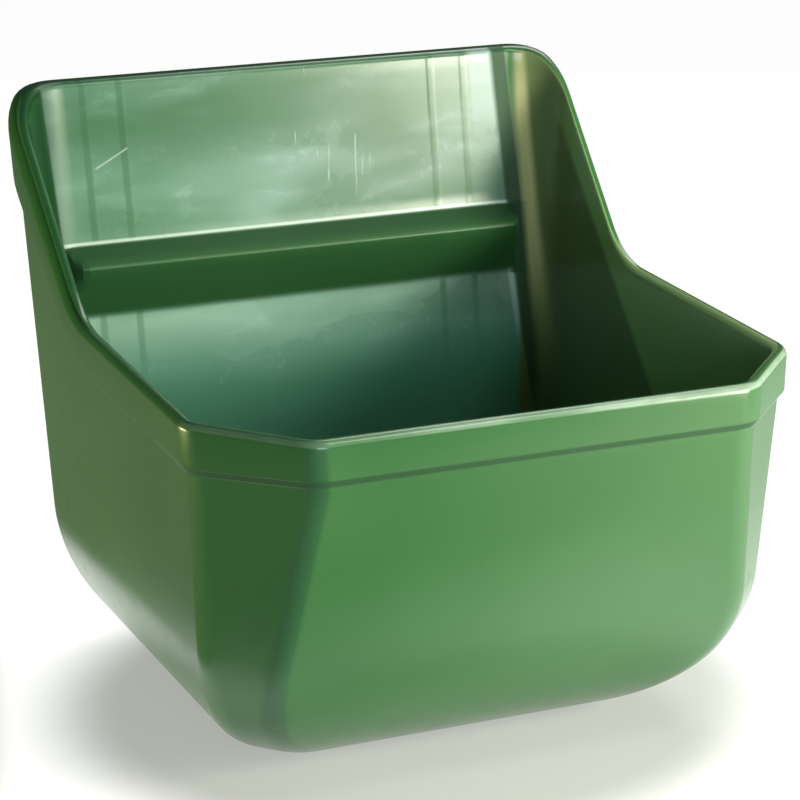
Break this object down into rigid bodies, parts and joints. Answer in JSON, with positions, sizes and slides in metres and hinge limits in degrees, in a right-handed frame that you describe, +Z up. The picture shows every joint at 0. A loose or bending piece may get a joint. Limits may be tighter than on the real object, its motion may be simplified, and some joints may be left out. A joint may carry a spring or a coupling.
{
  "type": "feed manger",
  "caption": "Green moulded plastic horse manger with a high back and chamfered front corners, hooked over a screwed steel wall rail and lifting off it.",
  "frame": {"origin": "middle of the wall rail's back face, on the wall", "axes": "+Z up, -Y out of the wall towards the front of the manger, +X to the right seen from the front"},
  "size_m": [0.4084, 0.4658, 0.3953],
  "materials": {
    "green_plastic": "glossy moulded polyethylene with fine scuffs",
    "galvanised_steel": "dull galvanised",
    "zinc_plated_steel": "bright zinc plated"
  },
  "bodies": {
    "rail": {"wall_rail": "galvanised_steel", "screw_washer_1": "zinc_plated_steel", "screw_washer_2": "zinc_plated_steel", "screw_washer_3": "zinc_plated_steel", "screw_washer_4": "zinc_plated_steel", "wall_screw_1": "zinc_plated_steel", "wall_screw_2": "zinc_plated_steel", "wall_screw_3": "zinc_plated_steel", "wall_screw_4": "zinc_plated_steel"},
    "manger": {"manger_shell": "green_plastic"}
  },
  "joints": [
    {"name": "lift_off", "type": "slide", "parent": "rail", "child": "manger", "axis": [0, 0, 1], "range_m": [0, 0.045]}
  ]
}
